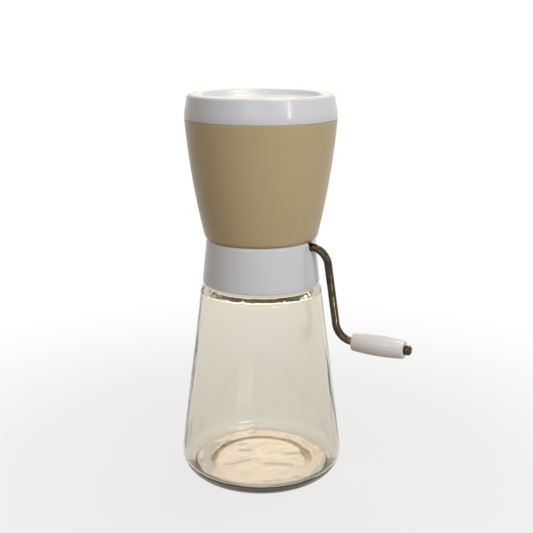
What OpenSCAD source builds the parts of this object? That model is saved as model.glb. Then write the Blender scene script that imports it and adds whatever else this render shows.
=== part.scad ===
// Hand-cranked nut chopper: a glass jar, a screw-on chopping head with a tapered hopper, a lift-off lid.
// Millimetres, +Z up. The origin is on the table under the middle of the jar. The shaft runs along X and
// the crank is on the +X side, hanging down.

/* [Jar] */
// Diameter of the glass at the top of its heel
jar_base_d = 86.5; // [78:0.1:96]
// Height of the glass shoulder above the table
jar_shoulder_h = 105.9; // [85:0.1:130]
// Radius of the rounded heel
jar_heel_r = 12.2; // [8:0.1:15]
// Radius of the rounded shoulder
jar_shoulder_round = 4.5; // [2.5:0.1:5.5]
// How far the glass shoulder stands out past the collar
jar_ledge = 0.5; // [0.2:0.1:3]
// Thickness of the glass wall
jar_wall = 2.8; // [2.2:0.1:3.6]
// Height of the inside floor above the table
jar_floor = 5.8; // [5:0.1:10]
// Radius of the rounded corner around the inside floor
jar_inner_heel = 4.5; // [3:0.1:8]
// Depth of the straight mouth below the glass shoulder
jar_mouth_drop = 1.5; // [1:0.1:3]
// Depth of the inside shoulder below the outside one
jar_inner_drop = 4.7; // [4:0.1:9]
// Width of the ring that stands on the table
jar_foot_w = 3; // [2:0.1:6]
// Height of the hollow under the floor
jar_kick = 1.8; // [0.8:0.1:2.6]
// Height of the neck above the shoulder
neck_h = 13.9; // [12:0.1:20]
// Thickness of the glass at the neck
neck_wall = 3; // [2.4:0.1:4]

/* [Collar] */
// Room between the neck and the collar for the screw thread
thread_room = 1.7; // [1.4:0.1:2.4]
// Thickness of the skirt at its lower edge
skirt_wall = 3.4; // [2.6:0.1:4.4]
// Gap between the skirt's lower edge and the glass shoulder
skirt_gap = 0.5; // [0.3:0.1:2]
// Thickness of the web that sits on the rim of the jar
web_t = 2.4; // [1.8:0.1:3.4]
// Width of the web between the throat and the rim of the jar
web_land = 2; // [1.2:0.1:4]
// Wall of the spigot that carries the hopper
spigot_wall = 1.4; // [1.2:0.1:2]
// Height of the spigot above the seam
spigot_h = 5.2; // [3:0.1:7]
// Width of the step around the spigot
collar_step = 2.6; // [2.2:0.1:4]
// Rounding of the collar's top edge
collar_round = 1.9; // [0.8:0.1:2]
// Width of a bearing post across the shaft
post_w = 10; // [8:0.1:14]
// Thickness of a bearing post along the shaft
post_t = 3; // [2:0.1:4.5]

/* [Hopper] */
// Diameter of the hopper at its top edge
hopper_top_d = 77.3; // [70:0.1:86]
// Height of the hopper from the seam to the lid
hopper_h = 61.2; // [48:0.1:75]
// Bulge of the hopper's side past a straight line
hopper_bulge = 1.2; // [0.5:0.1:2.4]
// Thickness of the hopper's wall
hopper_wall = 2.8; // [2.4:0.1:3.4]
// How far the hopper's lower edge stands out past the collar
hopper_step = 0.7; // [0:0.1:2]
// Rounding of the hopper's lower edge
hopper_round = 2.4; // [1:0.1:2.6]
// Thickness of the funnel
funnel_t = 2.2; // [1.6:0.1:3]
// Slope of the funnel
funnel_slope = 50; // [40:1:58]
// Wall of the spout along its two long sides
spout_wall = 2; // [1.4:0.1:3]
// Corner radius outside the spout
spout_round = 4; // [3:0.1:6]
// Thickness of the upstand inside the lid
upstand_wall = 1.2; // [1:0.1:1.4]
// Height of the upstand inside the lid
upstand_h = 4; // [2.5:0.1:5]

/* [Lid] */
// Height of the lid
lid_h = 12.1; // [10:0.1:16]
// Height of the upright band at the foot of the lid
lid_band = 3; // [1.5:0.1:5]
// Inward lean of the lid's side over its height
lid_taper = 1.75; // [0.5:0.05:2.2]
// Rounding of the lid's top edge
lid_round = 1.7; // [1:0.1:2.6]
// Width of the raised rim on top
lid_rim_w = 5.6; // [4:0.1:8]
// Depth of the recessed top
lid_recess = 2.2; // [1.2:0.1:3]
// Thickness of the lid's plate
lid_t = 2; // [1.4:0.1:2.8]
// Clearance between the lid and the hopper's upstand
lid_gap = 0.25; // [0.2:0.05:0.4]

/* [Chopper] */
// Number of chopping fingers on the shaft
finger_n = 6; // [4:1:8]
// Gap between neighbouring fingers
finger_gap = 4.2; // [3.6:0.1:5]
// Thickness of a finger
finger_t = 1; // [0.8:0.1:1.4]
// Distance from the shaft's axis to the tip of a finger
finger_r = 12; // [10.5:0.1:13.5]
// Radius of a finger's hub
finger_hub_r = 4.2; // [3.8:0.1:5]
// Turn from one finger to the next
finger_turn = 60; // [20:5:90]
// Radius of the spacers and end sleeves
spacer_r = 3.2; // [2.8:0.1:3.6]
// Length of an end sleeve
sleeve_l = 4; // [2.5:0.1:6]
// Thickness of a comb plate
comb_t = 1; // [0.8:0.1:1.4]
// Slot width in the coarse comb
coarse_slot = 3.6; // [3:0.1:3.8]
// Slot width in the fine comb
fine_slot = 2.2; // [2:0.1:2.8]
// Height of the shaft's axis above the combs
shaft_rise = 3.8; // [3:0.1:6]
// Height of the seam above the shaft's axis
seam_rise = 2.7; // [2.5:0.1:3.4]
// Diameter of a rivet's head
rivet_head_d = 3.8; // [3.2:0.1:4.4]
// Diameter of a rivet's shank
rivet_d = 2.2; // [1.8:0.1:2.6]

/* [Crank] */
// Diameter of the rod
rod_d = 4; // [3.4:0.1:4.4]
// Depth of each flat that turns the fingers
rod_flat = 0.4; // [0.3:0.05:0.6]
// Distance from the shaft's axis to the grip's axis
crank_throw = 47; // [38:0.25:56]
// Outward lean of the crank arm
arm_lean = 9; // [2:0.5:14]
// Radius at the middle of the rod in both bends
bend_r = 9.5; // [7:0.1:11]
// Straight stretch of rod between the collar and the first bend
shaft_reach = 0.4; // [0.2:0.1:5]
// Running clearance around the rod in its bearings and in the grip
rod_gap = 0.08; // [0.05:0.01:0.1]
// Length of the grip
grip_l = 27.3; // [20:0.1:36]
// Diameter of the grip at its ends
grip_end_d = 9; // [7.6:0.1:10]
// Bulge of the grip's side at its middle
grip_bulge = 0.8; // [0.4:0.1:2]
// Play of the grip along the rod at each end
grip_play = 0.35; // [0.3:0.05:0.6]
// Diameter of the end cap
cap_d = 5; // [4.8:0.1:6.4]
// Length of the end cap
cap_l = 3.3; // [3.2:0.1:5]

/* [Hidden] */
$fn = 96;

// Small clearances
fit_gap = 0.05;
free_gap = 0.4;
shaft_play = 0.1;
comb_gap = 0.3;
sweep_gap = 0.9;
throat_round = 3;
corner_lap = 0.2;
rim_round = 0.9;
rivet_head_h = 0.9;
rivet_tail_h = 0.8;
rivet_tail_d = rivet_d + 1.4;

// Heights above the table
skirt_z = jar_shoulder_h + skirt_gap;
rim_z = jar_shoulder_h + neck_h;
web_z = rim_z + web_t;
comb_z = web_z + comb_t;
shaft_z = comb_z + shaft_rise;
seam_z = shaft_z + seam_rise;
spigot_z = seam_z + spigot_h;
funnel_under_z = spigot_z + free_gap;
funnel_z = funnel_under_z + funnel_t;
seat_z = seam_z + hopper_h;
top_z = seat_z + lid_h;
grip_z = shaft_z - crank_throw;

// Distances along and across the shaft
rod_r = rod_d / 2;
bearing_r = rod_r + rod_gap;
finger_pitch = finger_t + finger_gap;
rotor_x = (finger_n - 1) / 2 * finger_pitch + finger_t / 2;
post_x = rotor_x + sleeve_l + shaft_play;
post_end_x = post_x + post_t;
throat_y = finger_r + sweep_gap;
spout_y = throat_y + spout_wall;
rivet_x = 1.5 * finger_pitch;
rivet_y = spout_y + rivet_head_d / 2 + free_gap;
rivet_reach = norm([rivet_x, rivet_y]);

// Radii around the jar's axis, from the throat outward
function corner_reach(x, y, r) = norm([x - r, y - r]) + r;
throat_r = corner_reach(post_x, throat_y, throat_round);
spout_r = corner_reach(post_end_x, spout_y, spout_round);
chamber_r = max(spout_r, rivet_reach + rivet_head_d / 2 + comb_gap) + free_gap + 0.1;
spigot_r = chamber_r + spigot_wall;
collar_top_r = spigot_r + collar_step;
mouth_r = max(throat_r, rivet_reach + rivet_tail_d / 2) + web_land;
neck_r = mouth_r + neck_wall;
bore_r = neck_r + thread_room;
collar_base_r = bore_r + skirt_wall;
hopper_base_r = collar_top_r + hopper_step;
hopper_top_r = hopper_top_d / 2;
land_r = spigot_r + fit_gap;

// Straight side of the jar, and the same side inside the glass
jar_base_r = jar_base_d / 2;
jar_shoulder_r = collar_base_r + jar_ledge;
jar_slope = (jar_base_r - jar_shoulder_r) / (jar_shoulder_h - jar_heel_r);
jar_lean = atan(jar_slope);
jar_skin = jar_wall / cos(jar_lean);
function jar_r(z) = jar_base_r - (z - jar_heel_r) * jar_slope;
foot_r = jar_r(0) - jar_heel_r / tan((90 - jar_lean) / 2);

// Hopper's side: an arc through the lower and upper edges
bowl_low = [hopper_base_r, seam_z];
bowl_high = [hopper_top_r, seat_z];
bowl_along = unit(bowl_high - bowl_low);
bowl_out = [bowl_along.y, -bowl_along.x];
bowl_r = arc_radius(norm(bowl_high - bowl_low), hopper_bulge);
bowl_mid = (bowl_low + bowl_high) / 2 - (bowl_r - hopper_bulge) * bowl_out;
upstand_in_r = bowl_mid.x + sqrt((bowl_r - hopper_wall) ^ 2 - (seat_z - bowl_mid.y) ^ 2);
upstand_r = upstand_in_r + upstand_wall;

// Crank: the rod turns down past the hopper, leans outward, then turns level into the grip
bend_turn = 90 - arm_lean;
bend_reach = bend_r * tan(bend_turn / 2);
elbow_x = collar_top_r + shaft_reach + bend_reach;
elbow_out_x = elbow_x + crank_throw * tan(arm_lean);
grip_x = elbow_out_x + bend_reach + grip_play;
cap_x = grip_x + grip_l + grip_play;
cap_depth = cap_l - 1.4;
bend_lap = 0.4;
bend_thin = 0.02;

function unit(v) = v / norm(v);
function arc_radius(chord, bulge) = chord ^ 2 / (8 * bulge) + bulge / 2;
function finger_place(i) = (i - (finger_n + 1) / 2) * finger_pitch;

// A corner of an outline: both tangent points, the arc's centre, the turn, the radius, a point outside,
// and a point just inside the chord, so that what the arc adds or takes laps over the outline
function corner(a, b, c, r) =
    let (
        u = unit(a - b),
        v = unit(c - b),
        half = acos(u * v) / 2,
        reach = r / tan(half),
        middle = b + unit(u + v) * r / sin(half),
        lap = b + unit(u + v) * (reach * cos(half) + min(corner_lap, r / 5))
    )
    [b + u * reach, b + v * reach, middle, cross(b - a, c - b), r, b + (b - middle) * 0.3, lap];

// The sliver between a corner's chord and its arc
module corner_arc(k) {
    intersection() {
        translate(k[2]) circle(r = k[4]);
        polygon([k[0], k[5], k[1], k[6]]);
    }
}

// An outline, counter-clockwise, with an arc of its own radius at each corner
module rounded_outline(points, radii) {
    n = len(points);
    corners = [
        for (i = [0:n - 1])
            if (radii[i] > 0) corner(points[(i + n - 1) % n], points[i], points[(i + 1) % n], radii[i])
            else [points[i], points[i], points[i], 0, 0]
    ];
    difference() {
        union() {
            polygon([for (k = corners) each (k[4] > 0 ? [k[0], k[1]] : [k[0]])]);
            for (k = corners) {
                if (k[3] > 0) corner_arc(k);
            }
        }
        for (k = corners) {
            if (k[3] < 0) corner_arc(k);
        }
    }
}

// A rectangle about the origin with round corners
module rounded_rect(half_x, half_y, r) {
    square([2 * half_x, 2 * (half_y - r)], center = true);
    square([2 * (half_x - r), 2 * half_y], center = true);
    for (x = [-1, 1], y = [-1, 1]) {
        translate([x * (half_x - r), y * (half_y - r)]) circle(r = r);
    }
}

// A turned shape that runs along +X from a point in the crank's plane
module turned_along_x(x, z) {
    translate([x, 0, z]) rotate([0, 90, 0]) rotate_extrude() children();
}

// A flat shape drawn across the shaft, thickened along +X
module stamped_across_x(x, t) {
    translate([x, 0, shaft_z]) rotate([90, 0, 90]) linear_extrude(t) children();
}

// A round bar along X at the height of the shaft
module bar_x(x, l, r) {
    translate([x, 0, shaft_z]) rotate([0, 90, 0]) cylinder(h = l, r = r);
}

module jar() {
    inner_shoulder_z = jar_shoulder_h - jar_inner_drop;
    kick_r = foot_r - jar_foot_w;
    color([0.80, 0.84, 0.78, 0.35])
    rotate_extrude()
    difference() {
        rounded_outline(
            [
                [0, jar_kick],
                [kick_r - 4, jar_kick],
                [kick_r, 0],
                [jar_r(0), 0],
                [jar_r(jar_shoulder_h), jar_shoulder_h],
                [neck_r, jar_shoulder_h],
                [neck_r, rim_z],
                [0, rim_z]
            ],
            [0, 3, 1, jar_heel_r, jar_shoulder_round, 0.8, rim_round, 0]
        );
        rounded_outline(
            [
                [0, jar_floor],
                [jar_r(jar_floor) - jar_skin, jar_floor],
                [jar_r(inner_shoulder_z) - jar_skin, inner_shoulder_z],
                [mouth_r, jar_shoulder_h - jar_mouth_drop],
                [mouth_r, rim_z - rim_round],
                [mouth_r + rim_round, rim_z],
                [mouth_r + rim_round, rim_z + 1],
                [0, rim_z + 1]
            ],
            [0, jar_inner_heel, 4, 2, 1.6, 0, 0, 0]
        );
    }
}

module collar() {
    color([0.91, 0.90, 0.89])
    difference() {
        union() {
            rotate_extrude()
            rounded_outline(
                [
                    [0, rim_z],
                    [bore_r, rim_z],
                    [bore_r, skirt_z],
                    [collar_base_r, skirt_z],
                    [collar_top_r, seam_z],
                    [spigot_r, seam_z],
                    [spigot_r, spigot_z],
                    [chamber_r, spigot_z],
                    [chamber_r, web_z],
                    [0, web_z]
                ],
                [0, 0, 0.4, 0.7, collar_round, 0, 0.4, 0.4, 0, 0]
            );
            for (x = [-post_end_x, post_x]) {
                translate([x, -post_w / 2, web_z - 1]) cube([post_t, post_w, shaft_z - web_z + 1]);
            }
        }
        translate([0, 0, rim_z - 1])
        linear_extrude(web_t + 2)
        rounded_rect(post_x, throat_y, throat_round);
        bar_x(-post_end_x - 1, 2 * post_end_x + 2, bearing_r);
        bar_x(post_end_x, collar_base_r, rod_r + free_gap);
        translate([post_end_x, -rod_r - free_gap, shaft_z])
        cube([collar_base_r, rod_d + 2 * free_gap, spigot_z]);
        for (x = [-rivet_x, rivet_x], y = [-rivet_y, rivet_y]) {
            translate([x, y, rim_z - 1]) cylinder(h = web_t + 2, r = rivet_d / 2);
        }
    }
}

// The hopper's outer or inner side between two heights
module bowl_outline(inset, low, high) {
    intersection() {
        translate(bowl_mid) circle(r = bowl_r - inset, $fn = 720);
        translate([0, low]) square([hopper_top_r + 10, high - low]);
    }
}

module hopper() {
    edge_z = seam_z + hopper_round;
    edge_x = bowl_mid.x + sqrt((bowl_r - hopper_round) ^ 2 - (edge_z - bowl_mid.y) ^ 2);
    edge_mid = [edge_x, edge_z];
    edge_end = bowl_mid + bowl_r * unit(edge_mid - bowl_mid);
    floor_r = throat_r + 0.6;
    under_r = floor_r + funnel_t * tan(funnel_slope / 2);
    climb = tan(funnel_slope);
    color([0.77, 0.68, 0.51])
    difference() {
        union() {
            rotate_extrude()
            difference() {
                union() {
                    bowl_outline(0, edge_end.y, seat_z);
                    polygon([[0, seam_z], [edge_x, seam_z], edge_end, [0, edge_end.y]]);
                    translate(edge_mid) circle(r = hopper_round);
                    translate([0, seat_z - 1]) square([upstand_r, upstand_h + 1]);
                }
                intersection() {
                    union() {
                        bowl_outline(hopper_wall, seam_z, seat_z);
                        translate([0, seat_z]) square([upstand_in_r, upstand_h + 1]);
                    }
                    polygon([
                        [0, funnel_z],
                        [floor_r, funnel_z],
                        [floor_r + hopper_top_r, funnel_z + hopper_top_r * climb],
                        [floor_r + hopper_top_r, top_z + hopper_h],
                        [0, top_z + hopper_h]
                    ]);
                }
                polygon([
                    [0, seam_z - 1],
                    [land_r, seam_z - 1],
                    [land_r, funnel_under_z + max(0, land_r - under_r) * climb],
                    [min(under_r, land_r), funnel_under_z],
                    [0, funnel_under_z]
                ]);
            }
            translate([0, 0, comb_z])
            linear_extrude(funnel_under_z - comb_z + 1)
            rounded_rect(post_end_x, spout_y, spout_round);
        }
        translate([0, 0, comb_z - 1])
        linear_extrude(hopper_h)
        rounded_rect(post_x, throat_y, throat_round);
        translate([-post_end_x - 1, -post_w / 2 - free_gap, comb_z - 1])
        cube([2 * post_end_x + 2, post_w + 2 * free_gap, shaft_z - comb_z + 1]);
        bar_x(-post_end_x - 1, 2 * post_end_x + 2, bearing_r);
        bar_x(spout_r, hopper_base_r, rod_r + free_gap);
    }
}

module lid() {
    floor_z = top_z - lid_recess;
    step_z = seat_z + upstand_h + free_gap;
    skirt_r = upstand_r + lid_gap;
    top_r = hopper_top_r - lid_taper;
    lip_r = top_r - lid_rim_w;
    color([0.92, 0.92, 0.92])
    rotate_extrude()
    rounded_outline(
        [
            [0, floor_z - lid_t],
            [skirt_r - 1.8, floor_z - lid_t],
            [skirt_r - 1.8, step_z],
            [skirt_r, step_z],
            [skirt_r, seat_z],
            [hopper_top_r, seat_z],
            [hopper_top_r, seat_z + lid_band],
            [top_r, top_z],
            [lip_r, top_z],
            [lip_r - lid_recess, floor_z],
            [0, floor_z]
        ],
        [0, 0.8, 0, 0, 0, 0.4, 10, lid_round, 2, 1.2, 0]
    );
}

module crank_rod() {
    arm_dir = [sin(arm_lean), -cos(arm_lean)];
    arm_start = [elbow_x, shaft_z] + bend_reach * arm_dir;
    arm_l = crank_throw / cos(arm_lean) - 2 * bend_reach;
    flat_z = rod_r - rod_flat;
    shaft_start = -post_end_x - 0.8;
    color([0.62, 0.60, 0.57])
    union() {
        difference() {
            bar_x(shaft_start, elbow_x - bend_reach - shaft_start + bend_lap, rod_r);
            for (z = [shaft_z + flat_z, shaft_z - flat_z - rod_d]) {
                translate([-rotor_x, -rod_d, z]) cube([2 * rotor_x, 2 * rod_d, rod_d]);
            }
        }
        rod_bend(elbow_x - bend_reach, shaft_z - bend_r, arm_lean);
        translate([arm_start.x, 0, arm_start.y])
        rotate([0, 180 - arm_lean, 0])
        translate([0, 0, -bend_lap])
        cylinder(h = arm_l + 2 * bend_lap, r = rod_r);
        rod_bend(elbow_out_x + bend_reach, grip_z + bend_r, 180 + arm_lean);
        translate([elbow_out_x + bend_reach - bend_lap, 0, grip_z])
        rotate([0, 90, 0])
        cylinder(h = cap_x + cap_depth - elbow_out_x - bend_reach + bend_lap, r = rod_r);
    }
}

// A bend of the rod about a centre in the crank's plane, from the given angle; a bent rod thins a little
module rod_bend(x, z, from) {
    translate([x, 0, z])
    rotate([90, 0, 0])
    rotate([0, 0, from])
    rotate_extrude(angle = bend_turn)
    translate([bend_r, 0]) circle(r = rod_r - bend_thin);
}

module crank_grip() {
    end_r = grip_end_d / 2;
    side_r = arc_radius(grip_l, grip_bulge);
    color([0.90, 0.89, 0.87])
    turned_along_x(grip_x, grip_z)
    difference() {
        intersection() {
            translate([end_r + grip_bulge - side_r, grip_l / 2]) circle(r = side_r, $fn = 360);
            rounded_outline(
                [[0, 0], [end_r, 0], [end_r + 4, 4], [end_r + 4, grip_l - 4], [end_r, grip_l], [0, grip_l]],
                [0, 0.5, 0, 0, 0.5, 0]
            );
        }
        square([2 * bearing_r, 3 * grip_l], center = true);
    }
}

module grip_cap() {
    color([0.66, 0.64, 0.61])
    turned_along_x(cap_x, grip_z)
    difference() {
        rounded_outline(
            [[0, 0], [cap_d / 2, 0], [cap_d / 2, cap_l], [0, cap_l]],
            [0, 0.3, 1.6, 0]
        );
        square([rod_d + fit_gap, 2 * cap_depth + fit_gap], center = true);
    }
}

// Half of the cutting ring: a plate with a slot for each finger, on the side given by its sign
module comb(side, slot_w) {
    tip_y = spacer_r + 0.8;
    root_y = throat_y - slot_w / 2;
    half_x = post_x - comb_gap;
    color([0.70, 0.70, 0.69])
    translate([0, 0, web_z])
    linear_extrude(comb_t)
    mirror([0, side < 0 ? 1 : 0])
    difference() {
        intersection() {
            circle(r = chamber_r - comb_gap);
            translate([-half_x, tip_y]) square([2 * half_x, chamber_r]);
        }
        for (i = [1:finger_n]) {
            translate([finger_place(i) - slot_w / 2, 0]) square([slot_w, root_y]);
            translate([finger_place(i), root_y]) circle(r = slot_w / 2);
        }
        for (x = [-rivet_x, rivet_x]) {
            translate([x, rivet_y]) circle(r = rivet_d / 2);
        }
    }
}

module coarse_comb() {
    comb(-1, coarse_slot);
}

module fine_comb() {
    comb(1, fine_slot);
}

module comb_rivets() {
    color([0.72, 0.71, 0.69])
    for (x = [-rivet_x, rivet_x], y = [-rivet_y, rivet_y]) {
        translate([x, y, 0])
        rotate_extrude()
        rounded_outline(
            [
                [0, rim_z - rivet_tail_h],
                [rivet_tail_d / 2, rim_z - rivet_tail_h],
                [rivet_tail_d / 2, rim_z],
                [rivet_d / 2, rim_z],
                [rivet_d / 2, comb_z],
                [rivet_head_d / 2, comb_z],
                [rivet_head_d / 2, comb_z + rivet_head_h],
                [0, comb_z + rivet_head_h]
            ],
            [0, 0.5, 0, 0, 0, 0, 0.7, 0]
        );
    }
}

// One arm of a finger, raked on one edge
module finger_arm() {
    tip_x = 0.4;
    polygon([
        [-2.4, 0],
        [2.4, 0],
        [2, finger_r - 4.4],
        [tip_x, sqrt(finger_r ^ 2 - tip_x ^ 2)],
        [-1.8, finger_r - 2]
    ]);
}

module chopper_finger(i) {
    flat_r = rod_r - rod_flat + fit_gap / 2;
    color([0.70, 0.70, 0.69])
    stamped_across_x(finger_place(i) - finger_t / 2, finger_t)
    difference() {
        rotate(i * finger_turn) {
            circle(r = finger_hub_r);
            finger_arm();
            rotate(180) finger_arm();
        }
        intersection() {
            circle(r = rod_r + fit_gap / 2);
            square([2 * rod_d, 2 * flat_r], center = true);
        }
    }
}

module rod_sleeve(x, l) {
    color([0.66, 0.66, 0.65])
    stamped_across_x(x, l)
    difference() {
        circle(r = spacer_r);
        circle(r = rod_r + fit_gap / 2);
    }
}

module finger_spacer(i) {
    rod_sleeve(finger_place(i) + finger_t / 2, finger_gap);
}

module end_sleeve_left() {
    rod_sleeve(-rotor_x - sleeve_l, sleeve_l);
}

module end_sleeve_right() {
    rod_sleeve(rotor_x, sleeve_l);
}

jar();
collar();
hopper();
lid();
crank_rod();
crank_grip();
grip_cap();
coarse_comb();
fine_comb();
comb_rivets();
end_sleeve_left();
end_sleeve_right();
for (i = [1:finger_n]) {
    chopper_finger(i);
}
for (i = [1:finger_n - 1]) {
    finger_spacer(i);
}
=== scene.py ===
import math

import bpy
import bmesh
from mathutils import Matrix, Vector, noise


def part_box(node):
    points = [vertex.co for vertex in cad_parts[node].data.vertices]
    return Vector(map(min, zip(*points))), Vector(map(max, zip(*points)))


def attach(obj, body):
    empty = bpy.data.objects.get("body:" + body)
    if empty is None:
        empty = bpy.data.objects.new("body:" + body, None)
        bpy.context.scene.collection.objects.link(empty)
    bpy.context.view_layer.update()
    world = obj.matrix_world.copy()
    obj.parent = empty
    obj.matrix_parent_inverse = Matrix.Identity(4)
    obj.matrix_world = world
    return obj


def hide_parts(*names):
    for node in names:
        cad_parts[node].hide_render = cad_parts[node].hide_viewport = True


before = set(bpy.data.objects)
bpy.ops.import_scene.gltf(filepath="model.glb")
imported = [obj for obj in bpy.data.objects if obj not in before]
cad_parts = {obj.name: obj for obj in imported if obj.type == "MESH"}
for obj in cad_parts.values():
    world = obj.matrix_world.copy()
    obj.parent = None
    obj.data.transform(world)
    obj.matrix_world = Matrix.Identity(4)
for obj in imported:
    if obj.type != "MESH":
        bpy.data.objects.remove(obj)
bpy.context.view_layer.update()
scene = bpy.context.scene
mm = 0.001
print("frame loaded:", len(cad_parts), "nodes")


# heights that several pieces share, in mm above the table,
# taken from the solids where a flat face gives them

def faceAt(node, end, axis=2):
    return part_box(node)[end][axis] / mm


def middleOf(node, axis=2):
    return (faceAt(node, 0, axis) + faceAt(node, 1, axis)) / 2


levels = {
    "skirt": faceAt("collar", 0),
    "rim": faceAt("jar", 1),             # jar's rim, under the collar's web
    "web": faceAt("coarse_comb", 0),
    "comb": faceAt("coarse_comb", 1),
    "shaft": middleOf("end_sleeve_left"),
    "seam": 129.7,                       # between collar and hopper
    "spigot": faceAt("collar", 1),
    "funnelUnder": 135.3,
    "funnel": 137.5,
    "upstand": faceAt("hopper", 1),
    "seat": faceAt("lid", 0),            # between hopper and lid
    "top": faceAt("lid", 1),
    "grip": middleOf("crank_grip"),
}
# half sizes of the opening that the nuts fall through, and of the chute round it
throat = {"x": 17.6, "y": 12.9, "round": (3.0, 6), "ringR": 21.24}
spout = {"x": 20.6, "y": 14.9, "round": (4.0, 6)}
print("levels:", {k: round(v, 2) for k, v in levels.items()})


# camera, fitted to the photograph

cameraValues = {
    "azimuth": 27.4,       # degrees round from the front, towards the crank
    "distance": 0.4766,    # from the jar's axis, level
    "height": 0.2386,
    "pitch": 14.73,        # degrees down
    "yaw": 0.336,
    "lens": 63.37,
    "sensor": 36,
    "nearest": 0.01,
}


def placeCamera(v):
    data = bpy.data.cameras.new("camera")
    data.lens = v["lens"]
    data.sensor_width = v["sensor"]
    data.clip_start = v["nearest"]
    cam = bpy.data.objects.new("camera", data)
    scene.collection.objects.link(cam)
    a = math.radians(v["azimuth"])
    cam.location = (math.sin(a) * v["distance"], -math.cos(a) * v["distance"], v["height"])
    cam.rotation_euler = (math.radians(90 - v["pitch"]), 0, a - math.radians(v["yaw"]))
    scene.camera = cam


placeCamera(cameraValues)
print("camera placed")


# mesh helpers: sizes in mm, a rounding as how far it cuts back the edges and in how many steps

meshValues = {
    "sharp": 38,           # degrees past which an edge shows as an edge
    "weld": 1e-7,          # metres
    "spinWeld": 2e-7,
    "barSides": 48,
    "past": 1,             # how far a cut goes past the face it opens
    "slant": Vector((0.8731, 0.3917, 2.1793)),
}


def shadeSmooth(mesh, sharp):
    for p in mesh.polygons:
        p.use_smooth = True
    mesh.set_sharp_from_angle(angle=math.radians(sharp))


def finishMesh(bm, name, sharp=meshValues["sharp"], faceOut=True):
    if faceOut:
        bmesh.ops.recalc_face_normals(bm, faces=bm.faces)
    # operators may order a mesh differently each run, so it is put in line along a slant
    bm.verts.sort(key=lambda vert: vert.co.dot(meshValues["slant"]))
    bm.faces.sort(key=lambda face: face.calc_center_median().dot(meshValues["slant"]))
    mesh = bpy.data.meshes.new(name)
    bm.to_mesh(mesh)
    bm.free()
    shadeSmooth(mesh, sharp)
    obj = bpy.data.objects.new(name, mesh)
    scene.collection.objects.link(obj)
    return obj


def joinUp(bm, verts, closed=False):
    for a, b in zip(verts, verts[1:] + verts[:1] if closed else verts[1:]):
        bm.edges.new((a, b))


def roundCorner(bm, vert, cut, steps):
    bmesh.ops.bevel(bm, geom=[vert], offset=cut * mm, offset_type="OFFSET", affect="VERTICES",
                    segments=steps, profile=0.5, material=-1, clamp_overlap=False)


def wireThrough(bm, points, closed=False):
    # points: radius or x, height, and a rounding where there is one
    verts = [bm.verts.new((p[0] * mm, 0, p[1] * mm)) for p in points]
    joinUp(bm, verts, closed)
    return verts


def roundCorners(bm, verts, points):
    for vert, p in zip(verts, points):
        if len(p) > 2:
            roundCorner(bm, vert, *p[2:])


def bowSide(bm, a, b, bulge, cuts):
    # splits one straight edge and bows it outward
    low, high = a.co.copy(), b.co.copy()
    out = Vector((high.z - low.z, 0, low.x - high.x)).normalized()
    last = a
    for k in range(cuts):
        t = (k + 1) / (cuts + 1)
        edge = bm.edges.get((last, b))
        last = bmesh.utils.edge_split(edge, last, 1 / (cuts + 1 - k))[1]
        last.co = low.lerp(high, t) + out * bulge * mm * 4 * t * (1 - t)


def splitLong(bm, longest):
    # a few loops on the long straight stretches, so that shading stays even
    for e in list(bm.edges):
        cuts = int(e.calc_length() / (longest * mm))
        if cuts > 0:
            bmesh.ops.subdivide_edges(bm, edges=[e], cuts=cuts)


def spinRound(bm, steps):
    bmesh.ops.spin(bm, geom=bm.verts[:] + bm.edges[:], cent=(0, 0, 0), axis=(0, 0, 1), dvec=(0, 0, 0),
                   angle=math.tau, steps=steps, use_merge=True, use_duplicate=False)
    bmesh.ops.remove_doubles(bm, verts=bm.verts, dist=meshValues["spinWeld"])
    bmesh.ops.dissolve_degenerate(bm, edges=bm.edges, dist=meshValues["weld"])


def spunWall(points, longest, steps):
    # an outline with its roundings, spun round the jar's axis
    bm = bmesh.new()
    roundCorners(bm, wireThrough(bm, points), points)
    splitLong(bm, longest)
    spinRound(bm, steps)
    return bm


def turnAlongX(bm, x, z):
    bmesh.ops.rotate(bm, verts=bm.verts, cent=(0, 0, 0), matrix=Matrix.Rotation(math.pi / 2, 3, "Y"))
    bmesh.ops.translate(bm, verts=bm.verts, vec=(x * mm, 0, z * mm))


def joinCut(obj, other, how):
    # one solid added to or taken from another, with the result kept as the mesh
    mod = obj.modifiers.new("cut", "BOOLEAN")
    mod.object = other
    mod.operation = how
    mod.solver = "EXACT"
    graph = bpy.context.evaluated_depsgraph_get()
    mesh = bpy.data.meshes.new_from_object(obj.evaluated_get(graph))
    obj.modifiers.clear()
    obj.data = mesh
    mesh.name = obj.name
    bpy.data.objects.remove(other)
    shadeSmooth(mesh, meshValues["sharp"])


def solidBar(name, x0, x1, radius, z):
    bm = bmesh.new()
    bmesh.ops.create_cone(bm, cap_ends=True, segments=meshValues["barSides"], radius1=radius * mm,
                          radius2=radius * mm, depth=(x1 - x0) * mm)
    turnAlongX(bm, (x0 + x1) / 2, z)
    return finishMesh(bm, name)


def solidBox(name, low, high):
    bm = bmesh.new()
    bmesh.ops.create_cube(bm, size=1)
    bmesh.ops.scale(bm, verts=bm.verts, vec=[(h - l) * mm for l, h in zip(low, high)])
    bmesh.ops.translate(bm, verts=bm.verts, vec=[(h + l) / 2 * mm for l, h in zip(low, high)])
    return finishMesh(bm, name)


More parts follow.
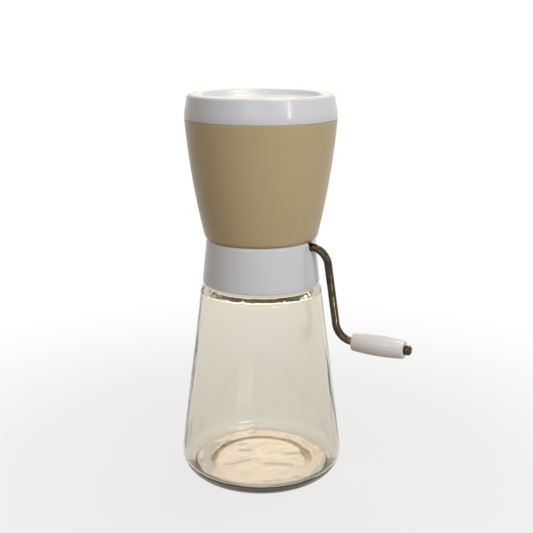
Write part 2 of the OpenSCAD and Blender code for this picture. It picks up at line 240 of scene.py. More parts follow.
def solidPlug(name, shape, low, high):
    # upright prism on a rounded rectangle
    bm = bmesh.new()
    corners = ((-1, -1), (1, -1), (1, 1), (-1, 1))
    verts = [bm.verts.new((x * shape["x"] * mm, y * shape["y"] * mm, low * mm)) for x, y in corners]
    joinUp(bm, verts, closed=True)
    for vert in verts:
        roundCorner(bm, vert, *shape["round"])
    faces = bmesh.ops.edgeloop_fill(bm, edges=bm.edges[:])["faces"]
    made = bmesh.ops.extrude_face_region(bm, geom=faces)["geom"]
    bmesh.ops.translate(bm, verts=[g for g in made if isinstance(g, bmesh.types.BMVert)],
                        vec=(0, 0, (high - low) * mm))
    return finishMesh(bm, name)


threadValues = {
    "sunk": 0.35,          # how deep the ridge's root sits in the wall
    "crest": 0.22,         # half of the crest, as a share of the ridge's width
    "stepsPerTurn": 72,
    "runOut": 26,          # degrees over which each end sinks into the wall
    "endHeight": 0.04,
    "onCrest": 2e-5,       # metres
}


def threadRidge(name, radius, ridge, outward, v=threadValues):
    # screw ridge: a small trapezium spun with a rise, its ends run out into the wall
    bm = bmesh.new()
    width, pitch, turns, z0 = ridge["width"], ridge["pitch"], ridge["turns"], ridge["z0"]
    sign = 1 if outward else -1
    root = radius - sign * v["sunk"]
    crest = radius + sign * ridge["height"]
    flat = width * v["crest"]
    outline = ((root, -width / 2), (crest, -flat), (crest, flat), (root, width / 2))
    face = bm.faces.new([bm.verts.new((r * mm, 0, (z0 + z) * mm)) for r, z in outline])
    steps = int(v["stepsPerTurn"] * turns)
    total = math.tau * turns
    bmesh.ops.spin(bm, geom=[face], cent=(0, 0, 0), axis=(0, 0, 1), dvec=(0, 0, pitch * turns / steps * mm),
                   angle=total, steps=steps, use_duplicate=False)
    bmesh.ops.remove_doubles(bm, verts=bm.verts, dist=meshValues["weld"])
    for vert in bm.verts:
        r = vert.co.xy.length
        around = math.atan2(vert.co.y, vert.co.x) % math.tau
        rise = (vert.co.z - z0 * mm) / (pitch * mm) * math.tau
        along = around + math.tau * round((rise - around) / math.tau)
        fade = max(0.0, min(1.0, min(along, total - along) / math.radians(v["runOut"])))
        fade = fade * fade * (3 - 2 * fade)
        if abs(r - crest * mm) < v["onCrest"]:
            target = (root + (crest - root) * max(fade, v["endHeight"])) * mm
            vert.co.x *= target / r
            vert.co.y *= target / r
    return finishMesh(bm, name)


# shader node helpers

def addNode(tree, kind, **values):
    node = tree.nodes.new(kind)
    for key, value in values.items():
        setattr(node, key, value)
    return node


def setInputs(node, values):
    for label, value in values.items():
        node.inputs[label].default_value = value


def feed(tree, socket, value):
    # takes another node's output, or a plain value
    if hasattr(value, "links"):
        tree.links.new(value, socket)
    else:
        socket.default_value = value


def noiseAt(tree, coords, scale, detail, rough):
    n = addNode(tree, "ShaderNodeTexNoise")
    setInputs(n, {"Scale": scale, "Detail": detail, "Roughness": rough})
    tree.links.new(coords, n.inputs["Vector"])
    return n.outputs["Fac"]


def rangeOf(tree, value, low, high, toLow, toHigh):
    n = addNode(tree, "ShaderNodeMapRange", interpolation_type="SMOOTHSTEP")
    tree.links.new(value, n.inputs["Value"])
    setInputs(n, {"From Min": low, "From Max": high, "To Min": toLow, "To Max": toHigh})
    return n.outputs["Result"]


def mathOf(tree, how, *values):
    n = addNode(tree, "ShaderNodeMath", operation=how)
    for socket, value in zip(n.inputs, values):
        feed(tree, socket, value)
    return n.outputs[0]


def mixColours(tree, fac, a, b):
    n = addNode(tree, "ShaderNodeMix", data_type="RGBA", blend_type="MIX")
    for place, value in ((0, fac), (6, a), (7, b)):     # the colour sockets come after the plain ones
        feed(tree, n.inputs[place], value)
    return n.outputs[2]


def mixShaders(tree, fac, first, second):
    mix = addNode(tree, "ShaderNodeMixShader")
    for socket, value in zip(mix.inputs, (fac, first.outputs[0], second.outputs[0])):
        tree.links.new(value, socket)
    tree.links.new(mix.outputs[0], tree.nodes["Material Output"].inputs["Surface"])


socketKinds = {1: "NodeSocketFloat", 3: "NodeSocketVector", 4: "NodeSocketColor"}   # by count of numbers


def newGroup(name, inputs):
    group = bpy.data.node_groups.new(name, "ShaderNodeTree")
    for label, value in inputs.items():
        kind = socketKinds[len(value) if isinstance(value, tuple) else 1]
        socket = group.interface.new_socket(name=label, in_out="INPUT", socket_type=kind)
        socket.default_value = value
    for label, count in (("Colour", 4), ("Roughness", 1), ("Height", 1)):
        group.interface.new_socket(name=label, in_out="OUTPUT", socket_type=socketKinds[count])
    return group, addNode(group, "NodeGroupInput").outputs, addNode(group, "NodeGroupOutput").inputs


# noises give scale, detail and roughness; the lines that show them give a range and what it becomes

wearValues = {
    "drift": (26, 3, 0.5),
    "driftShows": (0.36, 0.72, 0, 0.55),
    "edgeShows": (0.52, 0.62, 0, 1),
    "patches": (95, 3, 0.5),
    "patchesShow": (0.35, 0.7, 0.2, 1),
    "wipes": (60, 6, 0.6),
    "wipesShow": (0.4, 0.75, 0, 1),
    "grain": (420, 2, 0.4),
}


def makeHandledSurface(v):
    # slow colour drift, rubbed edges and faint wiping marks of a moulded piece handled for years
    g, given, out = newGroup("handledSurface", {
        "Colour": (0.8, 0.8, 0.8, 1), "Aged Colour": (0.6, 0.5, 0.4, 1), "Ageing": 0.2,
        "Gloss": 0.3, "Scuffs": 0.1, "Stretch": (1, 1, 1)})
    drawn = addNode(g, "ShaderNodeVectorMath", operation="MULTIPLY")
    g.links.new(addNode(g, "ShaderNodeTexCoord").outputs["Object"], drawn.inputs[0])
    g.links.new(given["Stretch"], drawn.inputs[1])
    coords = drawn.outputs["Vector"]
    drift = rangeOf(g, noiseAt(g, coords, *v["drift"]), *v["driftShows"])
    rubbed = rangeOf(g, addNode(g, "ShaderNodeNewGeometry").outputs["Pointiness"], *v["edgeShows"])
    patches = rangeOf(g, noiseAt(g, coords, *v["patches"]), *v["patchesShow"])
    worn = mathOf(g, "MAXIMUM", drift, mathOf(g, "MULTIPLY", rubbed, patches))
    amount = mathOf(g, "MULTIPLY", worn, given["Ageing"])
    g.links.new(mixColours(g, amount, given["Colour"], given["Aged Colour"]), out["Colour"])
    wiped = rangeOf(g, noiseAt(g, coords, *v["wipes"]), *v["wipesShow"])
    g.links.new(mathOf(g, "MULTIPLY_ADD", wiped, given["Scuffs"], given["Gloss"]), out["Roughness"])
    g.links.new(noiseAt(g, coords, *v["grain"]), out["Height"])
    return g


bloomValues = {
    "cloud": (120, 5, 0.62),
    "cloudShows": (0.4, 0.7, 0, 1),
    "dulling": 0.22,
    "grain": (1500, 3, 0.55),
}


def makeMetalBloom(v):
    # tarnish clouds and fine grain on plated or tinned steel
    g, given, out = newGroup("metalBloom", {
        "Colour": (0.6, 0.6, 0.6, 1), "Tarnish": (0.3, 0.25, 0.2, 1), "Amount": 0.4, "Gloss": 0.25})
    coords = addNode(g, "ShaderNodeTexCoord").outputs["Object"]
    cloud = rangeOf(g, noiseAt(g, coords, *v["cloud"]), *v["cloudShows"])
    amount = mathOf(g, "MULTIPLY", cloud, given["Amount"])
    g.links.new(mixColours(g, amount, given["Colour"], given["Tarnish"]), out["Colour"])
    g.links.new(mathOf(g, "MULTIPLY_ADD", cloud, v["dulling"], given["Gloss"]), out["Roughness"])
    g.links.new(noiseAt(g, coords, *v["grain"]), out["Height"])
    return g


handledSurface = makeHandledSurface(wearValues)
metalBloom = makeMetalBloom(bloomValues)


# materials

def newMaterial(name):
    mat = bpy.data.materials.new(name)
    mat.use_nodes = True
    return mat, mat.node_tree, mat.node_tree.nodes["Principled BSDF"]


def bumpInto(tree, shader, height, strength, distance):
    bump = addNode(tree, "ShaderNodeBump")
    setInputs(bump, {"Strength": strength, "Distance": distance})
    tree.links.new(height, bump.inputs["Height"])
    tree.links.new(bump.outputs["Normal"], shader.inputs["Normal"])


def groupMaterial(name, group, inputs, bump):
    mat, tree, shader = newMaterial(name)
    g = addNode(tree, "ShaderNodeGroup", node_tree=group)
    setInputs(g, inputs)
    tree.links.new(g.outputs["Colour"], shader.inputs["Base Color"])
    tree.links.new(g.outputs["Roughness"], shader.inputs["Roughness"])
    bumpInto(tree, shader, g.outputs["Height"], *bump)
    return mat, shader


plasticValues = {
    "tan": {"colour": (0.474, 0.376, 0.212, 1), "aged": (0.36, 0.25, 0.12, 1), "ageing": 0.22,
            "gloss": 0.30, "scuffs": 0.10, "shine": 0.32, "grain": 0.000006, "stretch": (1, 1, 1)},
    "white": {"colour": (0.640, 0.648, 0.668, 1), "aged": (0.56, 0.50, 0.42, 1), "ageing": 0.14,
              "gloss": 0.17, "scuffs": 0.08, "shine": 0.45, "grain": 0.000004, "stretch": (1, 1, 1)},
    "grip": {"colour": (0.75, 0.735, 0.72, 1), "aged": (0.40, 0.35, 0.29, 1), "ageing": 0.62,
             "gloss": 0.15, "scuffs": 0.12, "shine": 0.40, "grain": 0.000012, "stretch": (0.9, 6, 6)},
    "bump": 0.5,
    "ior": 1.49,
}


def mouldedPlastic(name, kind):
    v = plasticValues[kind]
    mat, shader = groupMaterial(name, handledSurface, {
        "Colour": v["colour"], "Aged Colour": v["aged"], "Ageing": v["ageing"],
        "Gloss": v["gloss"], "Scuffs": v["scuffs"], "Stretch": v["stretch"]},
        (plasticValues["bump"], v["grain"]))
    setInputs(shader, {"IOR": plasticValues["ior"], "Specular IOR Level": v["shine"]})
    return mat


metalValues = {
    "rod": {"colour": (0.085, 0.063, 0.042, 1), "tarnish": (0.03, 0.021, 0.014, 1),
            "amount": 0.7, "gloss": 0.07},
    "stamped": {"colour": (0.60, 0.60, 0.58, 1), "tarnish": (0.35, 0.31, 0.26, 1),
                "amount": 0.4, "gloss": 0.26},
    "bump": 0.35,
    "grain": 0.00002,
}


def platedSteel(name, kind):
    v = metalValues[kind]
    mat, shader = groupMaterial(name, metalBloom, {
        "Colour": v["colour"], "Tarnish": v["tarnish"], "Amount": v["amount"], "Gloss": v["gloss"]},
        (metalValues["bump"], metalValues["grain"]))
    setInputs(shader, {"Metallic": 1.0})
    return mat


glassValues = {
    "colour": (0.985, 0.99, 0.975, 1),
    "ior": 1.5,
    "rough": 0.015,
    "baseRough": 0.11,               # the pressed floor and foot are duller, in patches
    "baseTop": (0.0055, 0.0085),
    "patches": (130, 3, 0.5),
    "patchesShow": (0.4, 0.65, 0.25, 1),
    "tint": (0.66, 0.565, 0.40, 1),  # shows most where the glass is thick
    "density": 130.0,
    "ripple": (90, 2, 0.4),          # slow waves left by the mould, drawn out upwards
    "drawn": (1, 1, 0.22),
    "rippleBump": (0.6, 0.0006),
    "shade": (0.90, 0.89, 0.85, 1),  # what the glass lets through to the table
}


def pressedGlass(name, v):
    mat, tree, shader = newMaterial(name)
    setInputs(shader, {"Base Color": v["colour"], "IOR": v["ior"], "Transmission Weight": 1.0})
    coords = addNode(tree, "ShaderNodeTexCoord").outputs["Object"]
    part = addNode(tree, "ShaderNodeSeparateXYZ")
    tree.links.new(coords, part.inputs[0])
    base = rangeOf(tree, part.outputs["Z"], *v["baseTop"], v["baseRough"], 0)
    patches = rangeOf(tree, noiseAt(tree, coords, *v["patches"]), *v["patchesShow"])
    dull = mathOf(tree, "MULTIPLY", base, patches)
    tree.links.new(mathOf(tree, "ADD", dull, v["rough"]), shader.inputs["Roughness"])
    stretch = addNode(tree, "ShaderNodeMapping")
    setInputs(stretch, {"Scale": v["drawn"]})
    tree.links.new(coords, stretch.inputs["Vector"])
    bumpInto(tree, shader, noiseAt(tree, stretch.outputs["Vector"], *v["ripple"]), *v["rippleBump"])
    absorb = addNode(tree, "ShaderNodeVolumeAbsorption")
    setInputs(absorb, {"Color": v["tint"], "Density": v["density"]})
    tree.links.new(absorb.outputs["Volume"], tree.nodes["Material Output"].inputs["Volume"])
    clear = addNode(tree, "ShaderNodeBsdfTransparent")
    setInputs(clear, {"Color": v["shade"]})
    mixShaders(tree, addNode(tree, "ShaderNodeLightPath").outputs["Is Shadow Ray"], shader, clear)
    return mat


tanPlastic = mouldedPlastic("tanPlastic", "tan")
whitePlastic = mouldedPlastic("whitePlastic", "white")
gripPlastic = mouldedPlastic("gripPlastic", "grip")
rodSteel = platedSteel("rodSteel", "rod")
stampedSteel = platedSteel("stampedSteel", "stamped")
jarGlass = pressedGlass("jarGlass", glassValues)
print("materials made")


def dress(obj, mat):
    obj.data.materials.clear()
    obj.data.materials.append(mat)


# jar

jarValues = {
    "steps": 240,
    "longest": 2.4,             # straight stretches of the outline are split to this
    "sharp": 50,
    "leanPerMm": 0.12766,       # how fast the side draws in
    "baseR": 44.81,             # of the side, carried down to the table
    "skin": 2.82,
    "shoulder": 105.9,
    "foot": [(0, 1.8), (23.95, 1.8, 0.7, 6), (27.95, 0, 0.35, 6)],
    "heelCut": (13.86, 18),
    "shoulderCut": (3.96, 10),
    "neckR": 25.69,
    "neckCut": (0.8, 6),
    "rimCut": (0.9, 6),
    "mouthR": 22.69,
    "mouthDrop": 1.5,
    "mouthCut": (1.23, 8),
    "innerDrop": 4.7,
    "innerShoulderCut": (2.1, 10),
    "floor": 5.8,
    "innerHeelCut": (5.11, 14),
    "plungerRing": [(35.8, 0), (35.0, 0.6, 0.4, 6), (34.2, 0)],   # low bead round the floor inside
    "thread": {"height": 0.75, "width": 2.2, "pitch": 4.2, "turns": 1.6, "z0": 110.4},
    "lumps": {
        "floor": 0.30,          # unevenness of the pressed floor, up and down, and of the wall
        "wall": 0.10,
        "coarse": 62,           # noise scales
        "fine": 170,
        "fineShare": 0.4,
        "slow": 42,
        "skinShare": 0.6,       # what lies deeper than this in the wall isn't moved
        "floorMargin": 0.1,
        "belowShoulder": 8,
        "floorToWall": 8,       # height over which the floor's lumps give way to the wall's
        "edgeR": 38,            # the floor's lumps die down towards this radius
        "edgeRun": 6,
        "edgeLeft": 0.2,
    },
}


def sideR(v, z):
    return v["baseR"] - z * v["leanPerMm"]


def jarOutline(v):
    top, shoulder, floor = levels["rim"], v["shoulder"], v["floor"]
    innerTop = shoulder - v["innerDrop"]
    return [
        *v["foot"],
        (sideR(v, 0), 0, *v["heelCut"]),
        (sideR(v, shoulder), shoulder, *v["shoulderCut"]),
        (v["neckR"], shoulder, *v["neckCut"]),
        (v["neckR"], top, *v["rimCut"]),
        (v["mouthR"], top, *v["rimCut"]),
        (v["mouthR"], shoulder - v["mouthDrop"], *v["mouthCut"]),
        (sideR(v, innerTop) - v["skin"], innerTop, *v["innerShoulderCut"]),
        (sideR(v, floor) - v["skin"], floor, *v["innerHeelCut"]),
        *((p[0], floor + p[1], *p[2:]) for p in v["plungerRing"]),
        (0, floor),
    ]


def lumpyInside(bm, v):
    # pressed glass is never quite even inside
    p = v["lumps"]
    for vert in bm.verts:
        r, z = vert.co.xy.length / mm, vert.co.z / mm
        inHollow = r < sideR(v, z) - v["skin"] * p["skinShare"]
        if not (inHollow and v["floor"] - p["floorMargin"] < z < v["shoulder"] - p["belowShoulder"]):
            continue
        side = max(0.0, min(1.0, (z - v["floor"]) / p["floorToWall"]))
        swirl = noise.noise(vert.co * p["coarse"])
        swirl += p["fineShare"] * noise.noise(vert.co * p["fine"] + Vector((5, 2, 1)))
        calm = min(1, (p["edgeR"] - r) / p["edgeRun"] + p["edgeLeft"])
        vert.co.z += swirl * p["floor"] * mm * (1 - side) * calm
        swell = noise.noise(vert.co * p["slow"] + Vector((3, 1, 7))) * p["wall"] * mm * side
        if r > 1:
            vert.co.x *= 1 + swell / (r * mm)
            vert.co.y *= 1 + swell / (r * mm)


def makeJar(v):
    bm = spunWall(jarOutline(v), v["longest"], v["steps"])
    lumpyInside(bm, v)
    jar = finishMesh(bm, "glass_jar", v["sharp"])
    joinCut(jar, threadRidge("jar_thread", v["neckR"], v["thread"], True), "UNION")
    dress(jar, jarGlass)
    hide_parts("jar")
    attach(jar, "jar")


makeJar(jarValues)
print("jar made")


# collar

collarValues = {
    "steps": 160,
    "longest": 6,
    "boreR": 27.39,
    "baseR": 30.79,
    "topR": 28.36,
    "spigotR": 25.76,
    "chamberR": 24.36,
    "edgeCut": (0.4, 6),
    "skirtCut": (0.62, 6),
    "topCut": (1.7, 8),
    "post": {"thick": 3.0, "halfWide": 5.0, "sunk": 0.6},
    "bearing": {"r": 2.08, "reach": 22},
    "notch": {"r": 2.4, "to": 40, "top": 140},
    "thread": {"height": 0.65, "width": 2.2, "pitch": 4.2, "turns": 1.5, "z0": 108.6},
}


def makeCollar(v):
    rim, web, shaft = levels["rim"], levels["web"], levels["shaft"]
    bm = spunWall([
        (0, rim),
        (v["boreR"], rim),
        (v["boreR"], levels["skirt"], *v["edgeCut"]),
        (v["baseR"], levels["skirt"], *v["skirtCut"]),
        (v["topR"], levels["seam"], *v["topCut"]),
        (v["spigotR"], levels["seam"]),
        (v["spigotR"], levels["spigot"], *v["edgeCut"]),
        (v["chamberR"], levels["spigot"], *v["edgeCut"]),
        (v["chamberR"], web),
        (0, web),
    ], v["longest"], v["steps"])
    collar = finishMesh(bm, "screw_collar")
    past = meshValues["past"]
    joinCut(collar, solidPlug("throat", throat, rim - past, web + past), "DIFFERENCE")
    p = v["post"]
    for x in (throat["x"], -throat["x"] - p["thick"]):
        post = solidBox("post", (x, -p["halfWide"], web - p["sunk"]),
                        (x + p["thick"], p["halfWide"], shaft))
        joinCut(collar, post, "UNION")
    reach, n = v["bearing"]["reach"], v["notch"]
    joinCut(collar, solidBar("bearing", -reach, reach, v["bearing"]["r"], shaft), "DIFFERENCE")
    joinCut(collar, solidBar("notch", reach, n["to"], n["r"], shaft), "DIFFERENCE")
    joinCut(collar, solidBox("slot", (reach, -n["r"], shaft), (n["to"], n["r"], n["top"])), "DIFFERENCE")
    joinCut(collar, threadRidge("collar_thread", v["boreR"], v["thread"], False), "UNION")
    dress(collar, whitePlastic)
    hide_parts("collar")
    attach(collar, "head")


makeCollar(collarValues)
print("collar made")


# hopper

hopperValues = {
    "steps": 176,
    "bulge": (1.2, 16),         # how far a wall is bowed, and in how many cuts
    "innerBulge": (0.59, 10),
    "baseR": 29.06,
    "topR": 38.65,
    "upstandR": 37.04,
    "innerR": 35.84,            # at the seat
    "funnelMeets": (30.10, 148.05),
    "landR": 25.81,
    "underR": 24.2,             # ring under the funnel, just outside the spout
    "underZ": 136.2,
    "underRise": 2.0,
    "upstandCut": (0.4, 4),
    "topCut": (0.35, 4),
    "edgeCut": (1.85, 8),       # the lower edge
    "chuteSunk": 0.6,
    "gap": {"halfWide": 5.4, "from": 120, "reach": 23},
    "bearing": {"r": 2.08, "reach": 23},
    "notch": {"r": 2.4, "from": 24, "to": 40},
}


def makeHopper(v):
    ring, shaft, under = throat["ringR"], levels["shaft"], levels["funnelUnder"]
    points = [
        (0, levels["funnel"]),
        (ring, levels["funnel"]),
        v["funnelMeets"],
        (v["innerR"], levels["seat"]),
        (v["innerR"], levels["upstand"], *v["upstandCut"]),
        (v["upstandR"], levels["upstand"], *v["upstandCut"]),
        (v["upstandR"], levels["seat"]),
        (v["topR"], levels["seat"], *v["topCut"]),
        (v["baseR"], levels["seam"], *v["edgeCut"]),
        (v["landR"], levels["seam"]),
        (v["landR"], v["underZ"] + v["underRise"]),
        (v["underR"], v["underZ"]),
        (ring, under),
        (0, under),
    ]
    bm = bmesh.new()
    verts = wireThrough(bm, points)
    bowSide(bm, verts[2], verts[3], *v["innerBulge"])
    bowSide(bm, verts[8], verts[7], *v["bulge"])
    roundCorners(bm, verts, points)
    spinRound(bm, v["steps"])
    hopper = finishMesh(bm, "hopper_bowl")
    joinCut(hopper, solidPlug("chute", spout, levels["comb"], under + v["chuteSunk"]), "UNION")
    past = meshValues["past"]
    opening = solidPlug("throat", throat, levels["comb"] - past, levels["funnel"] + past)
    joinCut(hopper, opening, "DIFFERENCE")
    g, b, n = v["gap"], v["bearing"], v["notch"]
    gap = solidBox("gap", (-g["reach"], -g["halfWide"], g["from"]), (g["reach"], g["halfWide"], shaft))
    joinCut(hopper, gap, "DIFFERENCE")
    joinCut(hopper, solidBar("bearing", -b["reach"], b["reach"], b["r"], shaft), "DIFFERENCE")
    joinCut(hopper, solidBar("notch", n["from"], n["to"], n["r"], shaft), "DIFFERENCE")
    dress(hopper, tanPlastic)
    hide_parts("hopper")
    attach(hopper, "head")


makeHopper(hopperValues)
print("hopper made")


# lid

lidValues = {
    "steps": 176,
    "longest": 8,
    "outerR": 38.65,
    "topR": 36.9,
    "bandHeight": 3.0,
    "rimInR": 31.3,
    "recess": 2.2,
    "plate": 2.0,
    "skirtR": 37.29,
    "innerR": 35.49,
    "upstandRoom": 0.4,
    "plateCut": (0.8, 6),
    "skirtCut": (0.2, 6),
    "edgeCut": (0.4, 6),
    "bandCut": (1.0, 5),
    "topCut": (1.4, 8),
    "rimCut": (0.83, 6),
    "recessCut": (0.5, 5),
}


def makeLid(v):
    seat, top = levels["seat"], levels["top"]
    floor, step = top - v["recess"], levels["upstand"] + v["upstandRoom"]
    bm = spunWall([
        (0, floor - v["plate"]),
        (v["innerR"], floor - v["plate"], *v["plateCut"]),
        (v["innerR"], step),
        (v["skirtR"], step),
        (v["skirtR"], seat, *v["skirtCut"]),
        (v["outerR"], seat, *v["edgeCut"]),
        (v["outerR"], seat + v["bandHeight"], *v["bandCut"]),
        (v["topR"], top, *v["topCut"]),
        (v["rimInR"], top, *v["rimCut"]),
        (v["rimInR"] - v["recess"], floor, *v["recessCut"]),
        (0, floor),
    ], v["longest"], v["steps"])
    lid = finishMesh(bm, "hopper_lid")
    dress(lid, whitePlastic)
    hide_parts("lid")
    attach(lid, "lid")


makeLid(lidValues)
print("lid made")


# crank rod, grip and end cap

crankValues = {
    "rodR": 2.0,
    "sides": 32,
    "flat": 0.4,
    "flatReach": 6,        # of the blocks that cut the two flats
    "rotorX": 13.5,
    "lean": 9,             # degrees that the arm leans out
    "bendCut": 8.114,
    "bendSteps": 20,
    "gripSteps": 64,
    "gripPlay": 0.35,
    "gripEndR": 4.5,
    "gripBulge": (0.8, 18),
    "gripCut": (0.3, 5),
    "boreR": 2.08,
    "boreCut": (0.15, 5),
    "capSteps": 40,
    "capR": 2.5,
    "capBoreR": 2.02,
    "capPlay": 0.03,
    "capEdgeCut": (0.3, 6),
    "capEndCut": (1.6, 8),
}


def roundSection(line, v):
    # a round section along a wire, as a mesh
    for o in bpy.context.selected_objects:
        o.select_set(False)
    bpy.context.view_layer.objects.active = line
    line.select_set(True)
    bpy.ops.object.convert(target="CURVE")
    line.data.bevel_depth = v["rodR"] * mm
    line.data.bevel_resolution = v["sides"] // 4 - 2
    line.data.use_fill_caps = True
    graph = bpy.context.evaluated_depsgraph_get()
    tube = bpy.data.meshes.new_from_object(line.evaluated_get(graph))
    bpy.data.objects.remove(line)
    return tube


def makeRod(v):
    shaft, low = levels["shaft"], levels["grip"]
    outX = faceAt("crank_grip", 0, 0) - v["gripPlay"] - v["bendCut"]
    elbowX = outX - (shaft - low) * math.tan(math.radians(v["lean"]))
    bm = bmesh.new()
    verts = wireThrough(bm, [(faceAt("crank_rod", 0, 0), shaft), (elbowX, shaft), (outX, low),
                             (faceAt("crank_rod", 1, 0), low)])
    for bend in verts[1:3]:
        roundCorner(bm, bend, v["bendCut"], v["bendSteps"])
    mesh = bpy.data.meshes.new("rodLine")
    bm.to_mesh(mesh)
    bm.free()
    line = bpy.data.objects.new("rodLine", mesh)
    scene.collection.objects.link(line)
    bm = bmesh.new()
    bm.from_mesh(roundSection(line, v))
    bmesh.ops.remove_doubles(bm, verts=bm.verts, dist=meshValues["weld"])
    rod = finishMesh(bm, "crank_rod_bent")
    half, reach, x = v["rodR"] - v["flat"], v["flatReach"], v["rotorX"]
    for under, over in ((half, reach), (-reach, -half)):
        flat = solidBox("flat", (-x, -reach, shaft + under), (x, reach, shaft + over))
        joinCut(rod, flat, "DIFFERENCE")
    dress(rod, rodSteel)
    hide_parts("crank_rod")
    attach(rod, "crank")


def makeGrip(v):
    startX, endR, bore = faceAt("crank_grip", 0, 0), v["gripEndR"], v["boreR"]
    length = faceAt("crank_grip", 1, 0) - startX
    points = [(bore, 0, *v["boreCut"]), (endR, 0, *v["gripCut"]),
              (endR, length, *v["gripCut"]), (bore, length, *v["boreCut"])]
    bm = bmesh.new()
    verts = wireThrough(bm, points, closed=True)
    bowSide(bm, verts[1], verts[2], *v["gripBulge"])
    roundCorners(bm, verts, points)
    spinRound(bm, v["gripSteps"])
    turnAlongX(bm, startX, levels["grip"])
    grip = finishMesh(bm, "turning_grip")
    dress(grip, gripPlastic)
    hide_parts("crank_grip")
    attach(grip, "grip")


def makeCap(v):
    startX = faceAt("grip_cap", 0, 0)
    length = faceAt("grip_cap", 1, 0) - startX
    depth = faceAt("crank_rod", 1, 0) - startX + v["capPlay"]
    points = [(0, depth), (v["capBoreR"], depth), (v["capBoreR"], 0), (v["capR"], 0, *v["capEdgeCut"]),
              (v["capR"], length, *v["capEndCut"]), (0, length)]
    bm = bmesh.new()
    roundCorners(bm, wireThrough(bm, points), points)
    spinRound(bm, v["capSteps"])
    turnAlongX(bm, startX, levels["grip"])
    cap = finishMesh(bm, "grip_end_cap")
    dress(cap, rodSteel)
    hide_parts("grip_cap")
    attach(cap, "crank")


makeRod(crankValues)
makeGrip(crankValues)
makeCap(crankValues)
print("crank made")


# chopping parts keep their solids and get their steel

for nodeName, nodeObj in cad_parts.items():
    if nodeName.startswith(("chopper_finger", "finger_spacer", "end_sleeve")) or "comb" in nodeName:
        dress(nodeObj, stampedSteel)
print("chopping parts dressed")


# floor, backdrop and light

stageValues = {
    "floor": (0.38, 0.30, 0.23, 1),
    "floorHalf": 6,
    "floorRough": 0.9,
    "floorShine": 0.1,
    "fade": (0.05, 0.34, 0.78, 1),        # floor to backdrop: from, to, and its share at both
    "backdrop": (1.0, 1.0, 1.0, 1),
    "room": (0.32, 0.255, 0.19, 1),       # what lights the object from around, and from above
    "overhead": (0.27, 0.27, 0.275, 1),
    "overheadFrom": 0.75,
}
lampValues = {
    "key": {"place": (0.74, -0.45, 0.66), "aim": (0, 0, 0.12), "size": (0.45, 0.45),
            "power": 3.6, "spread": 150, "colour": (0.91, 0.96, 1.0), "inGloss": False},
    "front": {"place": (0.18, -0.85, 0.50), "aim": (0, 0, 0.14), "size": (0.5, 0.4),
              "power": 0.13, "spread": 60, "colour": (0.94, 0.97, 1.0)},
    "strip": {"place": (0.515, -0.195, 0.335), "aim": (0, 0, 0.2), "size": (0.03, 0.17),
              "power": 0.13, "spread": 120, "colour": (1.0, 0.99, 0.97)},
    "back": {"place": (0.03, 0.26, 0.85), "aim": (0.02, 0, 0.14), "size": (0.25, 0.25),
             "power": 0.15, "spread": 44, "colour": (1.0, 0.91, 0.80)},
    "low": {"place": (-0.36, 0.72, 0.40), "aim": (0, 0, 0.03), "size": (0.24, 0.12),
            "power": 0.020, "spread": 50, "colour": (1.0, 0.75, 0.48)},
    # highlights along the grip and along the rod
    "glint": {"place": (-0.12, -0.66, 0.58), "aim": (0.068, 0, 0.078), "size": (0.10, 0.06),
              "power": 0.004, "spread": 14, "colour": (1.0, 0.99, 0.97), "onMatt": False},
    "streak": {"place": (0.70, -0.50, 0.03), "aim": (0.056, 0, 0.10), "size": (0.03, 0.06),
               "power": 0.0006, "spread": 4, "colour": (1.0, 0.97, 0.92), "onMatt": False},
}


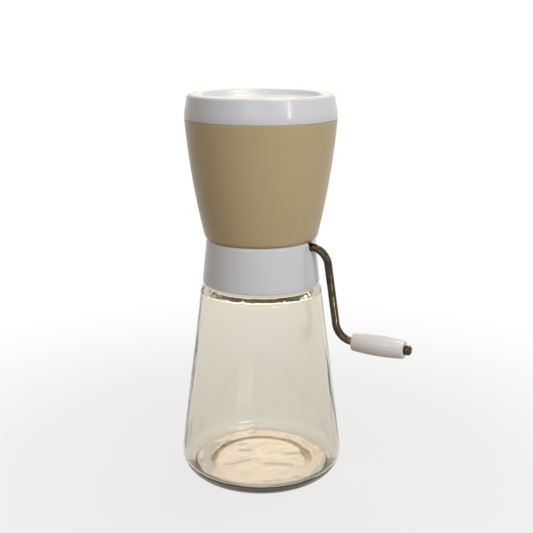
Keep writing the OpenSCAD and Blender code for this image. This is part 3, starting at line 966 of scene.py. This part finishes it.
def addLamp(name, v):
    data = bpy.data.lights.new(name, "AREA")
    data.shape = "RECTANGLE"
    data.size, data.size_y = v["size"]
    data.energy = v["power"]
    data.spread = math.radians(v["spread"])
    data.color = v["colour"]
    lamp = bpy.data.objects.new(name, data)
    lamp.location = v["place"]
    lamp.rotation_euler = (Vector(v["aim"]) - Vector(v["place"])).to_track_quat("-Z", "Y").to_euler()
    lamp.visible_camera = False
    lamp.visible_glossy = v.get("inGloss", True)
    lamp.visible_diffuse = v.get("onMatt", True)
    scene.collection.objects.link(lamp)


def seenDirectly(tree):
    # the eye, metal and glass all see the backdrop
    path = addNode(tree, "ShaderNodeLightPath")
    seen = path.outputs["Is Camera Ray"]
    for other in ("Is Glossy Ray", "Is Transmission Ray"):
        seen = mathOf(tree, "MAXIMUM", seen, path.outputs[other])
    return seen


def makeFloor(v):
    # the floor keeps the object's shadow close by, and fades to the backdrop further out
    bm = bmesh.new()
    bmesh.ops.create_grid(bm, x_segments=1, y_segments=1, size=v["floorHalf"])
    floor = finishMesh(bm, "floor", faceOut=False)
    mat, tree, shader = newMaterial("paleFloor")
    setInputs(shader, {"Base Color": v["floor"], "Roughness": v["floorRough"],
                       "Specular IOR Level": v["floorShine"]})
    away = addNode(tree, "ShaderNodeVectorMath", operation="LENGTH")
    tree.links.new(addNode(tree, "ShaderNodeTexCoord").outputs["Object"], away.inputs[0])
    glow = addNode(tree, "ShaderNodeEmission")
    setInputs(glow, {"Color": v["backdrop"]})
    faded = rangeOf(tree, away.outputs["Value"], *v["fade"])
    mixShaders(tree, mathOf(tree, "MULTIPLY", faded, seenDirectly(tree)), shader, glow)
    dress(floor, mat)


def makeWorld(v):
    world = bpy.data.worlds.new("studio")
    scene.world = world
    world.use_nodes = True
    tree = world.node_tree
    part = addNode(tree, "ShaderNodeSeparateXYZ")
    tree.links.new(addNode(tree, "ShaderNodeTexCoord").outputs["Generated"], part.inputs[0])
    rise = rangeOf(tree, part.outputs["Z"], 0, v["overheadFrom"], 0, 1)
    surround = mixColours(tree, rise, v["room"], v["overhead"])
    seen = mixColours(tree, seenDirectly(tree), surround, v["backdrop"])
    tree.links.new(seen, tree.nodes["Background"].inputs["Color"])


makeFloor(stageValues)
makeWorld(stageValues)
for lampName, lamp in lampValues.items():
    addLamp(lampName, lamp)
scene.view_settings.view_transform = "Standard"
print("stage made")
